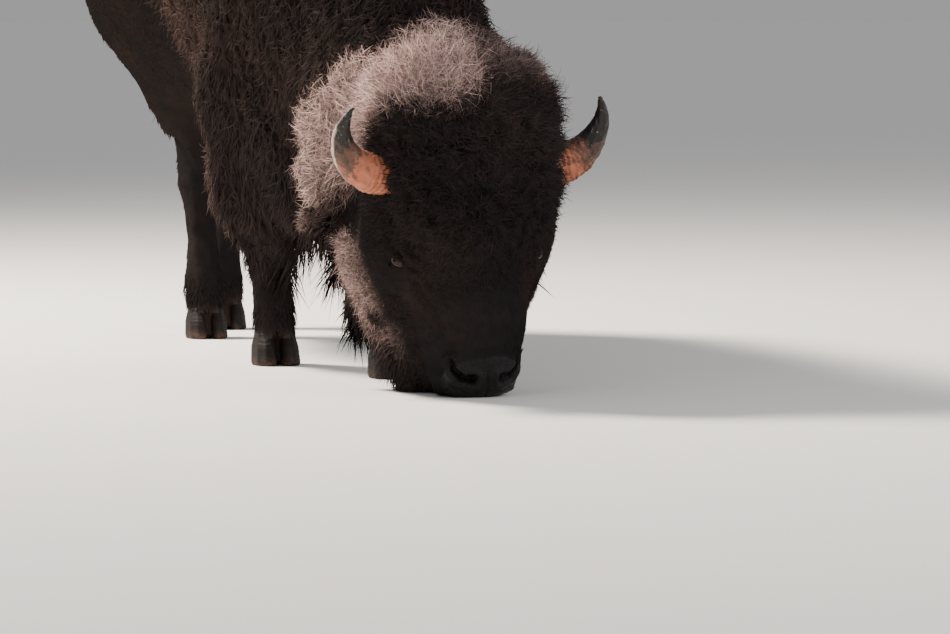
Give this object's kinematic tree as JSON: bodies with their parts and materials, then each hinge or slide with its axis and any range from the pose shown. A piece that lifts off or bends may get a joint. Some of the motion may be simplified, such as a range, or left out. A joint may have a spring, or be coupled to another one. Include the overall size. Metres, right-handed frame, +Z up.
{
  "type": "bison",
  "caption": "American bison bull at life size, standing with its muzzle lowered to the ground as if drinking, horned, woolly in front and short-coated behind",
  "frame": {"origin": "middle of the bounding box on the floor, at z = 0", "axes": "+Z is up; the animal faces along -Y, its muzzle the furthest forward, and its left side is +X"},
  "size_m": [0.916, 2.686, 1.7164],
  "materials": {
    "head_hair": "matt, frizzy hair",
    "mane": "matt, woolly hair",
    "chaps": "matt, long hair",
    "body_coat": "satin, short hair",
    "shank": "satin, short hair",
    "tail_tuft": "matt, long hair",
    "nose": "moist, finely grained",
    "horn": "worn horn",
    "hoof": "worn hoof horn",
    "eye": "wet, glossy"
  },
  "bodies": {
    "root": {"beard": "head_hair", "bonnet": "head_hair", "lower_jaw": "head_hair", "muzzle": "nose", "head": "head_hair", "foreleg_right_lower": "shank", "foreleg_right_upper": "chaps", "foreleg_left_lower": "shank", "foreleg_left_upper": "chaps", "hindleg_right_lower": "shank", "hindleg_right_upper": "body_coat", "hindleg_left_lower": "shank", "hindleg_left_upper": "body_coat", "neck": "mane", "shoulders": "mane", "barrel": "body_coat", "rump": "body_coat", "ear_right": "head_hair", "ear_left": "head_hair", "tail": "body_coat", "tail_tuft": "tail_tuft", "horn_right": "horn", "eye_right": "eye", "horn_left": "horn", "eye_left": "eye", "foreleg_right_hoof_right": "hoof", "foreleg_right_dewclaw_right": "hoof", "foreleg_right_hoof_left": "hoof", "foreleg_right_dewclaw_left": "hoof", "foreleg_left_hoof_right": "hoof", "foreleg_left_dewclaw_right": "hoof", "foreleg_left_hoof_left": "hoof", "foreleg_left_dewclaw_left": "hoof", "hindleg_right_hoof_right": "hoof", "hindleg_right_dewclaw_right": "hoof", "hindleg_right_hoof_left": "hoof", "hindleg_right_dewclaw_left": "hoof", "hindleg_left_hoof_right": "hoof", "hindleg_left_dewclaw_right": "hoof", "hindleg_left_hoof_left": "hoof", "hindleg_left_dewclaw_left": "hoof"}
  },
  "joints": []
}
